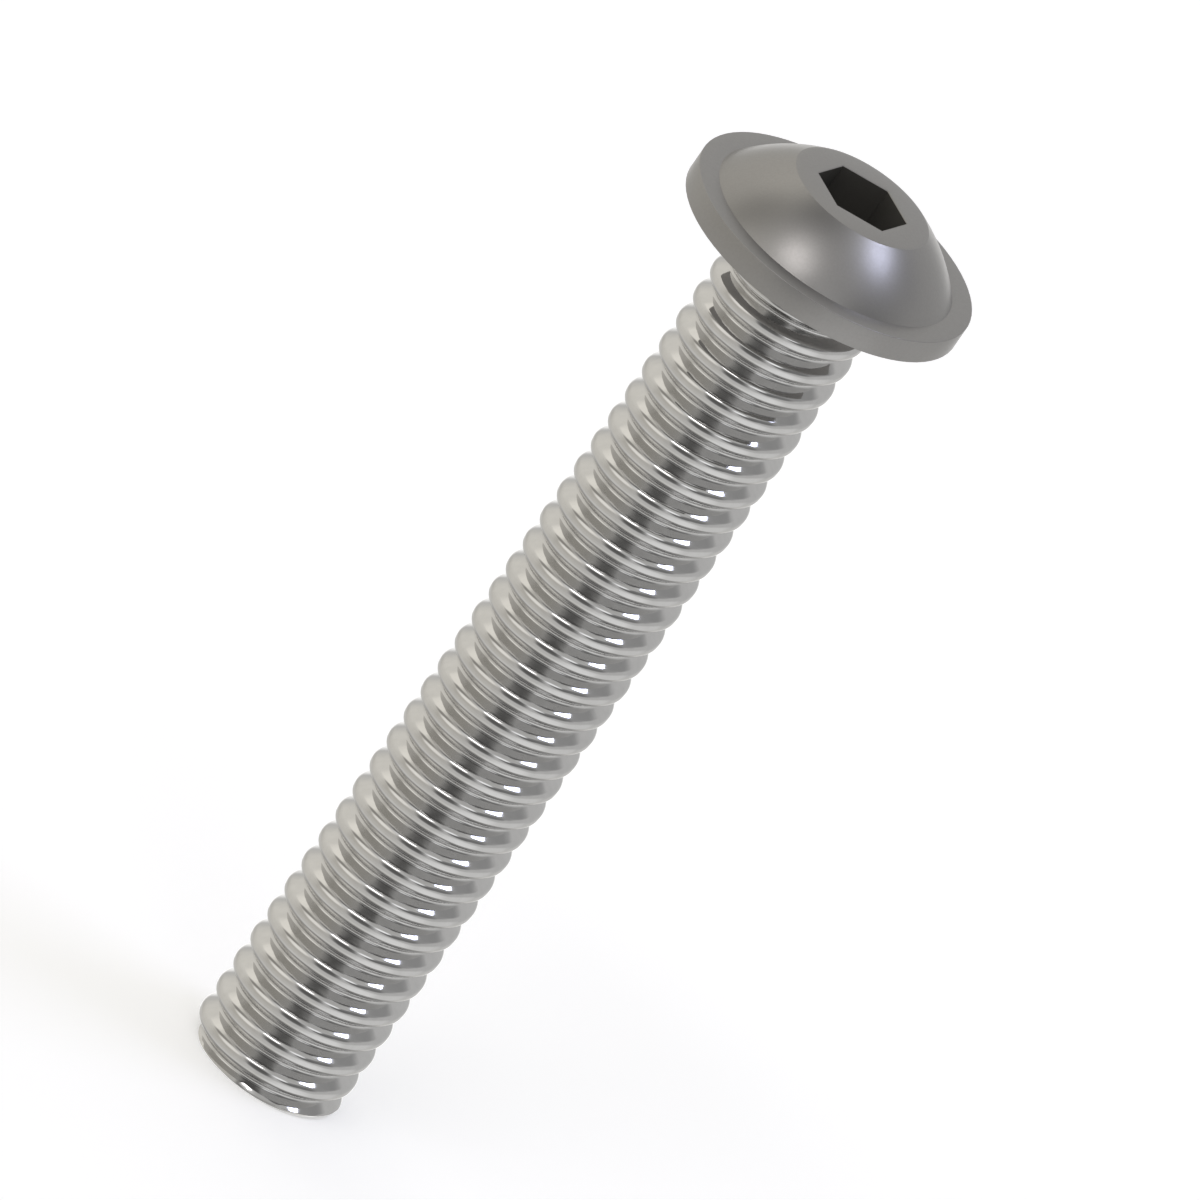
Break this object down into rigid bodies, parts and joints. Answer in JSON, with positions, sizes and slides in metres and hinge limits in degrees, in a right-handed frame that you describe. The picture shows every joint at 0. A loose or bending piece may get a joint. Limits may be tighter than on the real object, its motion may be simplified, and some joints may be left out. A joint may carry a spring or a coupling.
{
  "type": "socket head flange screw",
  "caption": "Flanged screw with a low domed head, a hexagon socket in its flat crown and a coarse thread right up to the flange.",
  "frame": {"origin": "centre of the flat face of the tip, on the floor", "axes": "+Z along the screw's axis towards the head, -Y towards the front, +X to the right"},
  "size_m": [0.0178, 0.0178, 0.0644],
  "materials": {
    "screw": "satin head, bright polished thread"
  },
  "bodies": {
    "root": {"screw": "screw"}
  },
  "joints": []
}
